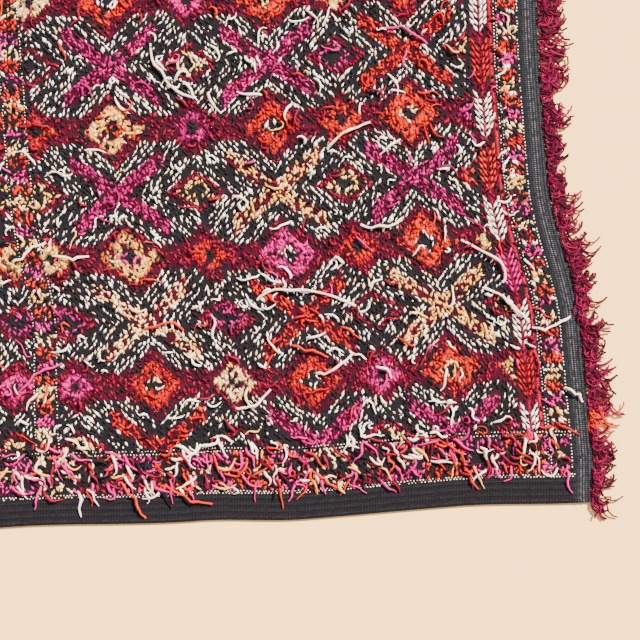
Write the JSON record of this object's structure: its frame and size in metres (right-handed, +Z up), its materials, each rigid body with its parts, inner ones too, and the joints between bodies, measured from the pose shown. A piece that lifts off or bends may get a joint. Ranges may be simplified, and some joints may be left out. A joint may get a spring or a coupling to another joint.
{
  "type": "moroccan runner rug",
  "caption": "Flat-woven wool runner lying yarn-end side up, with a lattice field, ribbed edges and a locked fringe along both long sides.",
  "frame": {"origin": "middle of the footprint, on the floor the rug lies on", "axes": "+Y along the rug, away from the end seen in the picture, +X across it, to that picture's right, +Z up from the floor, out of the yarn-end face"},
  "size_m": [1.2086, 2.5538, 0.0164],
  "materials": {
    "woven_wool": "matte hand-spun wool and cotton, brocaded in black, maroon, pink, orange, gold and cream",
    "fringe_wool": "matte two-ply crimson wool"
  },
  "bodies": {
    "root": {"woven_rug": "woven_wool", "fringe_right": "fringe_wool", "fringe_left": "fringe_wool"}
  },
  "joints": []
}
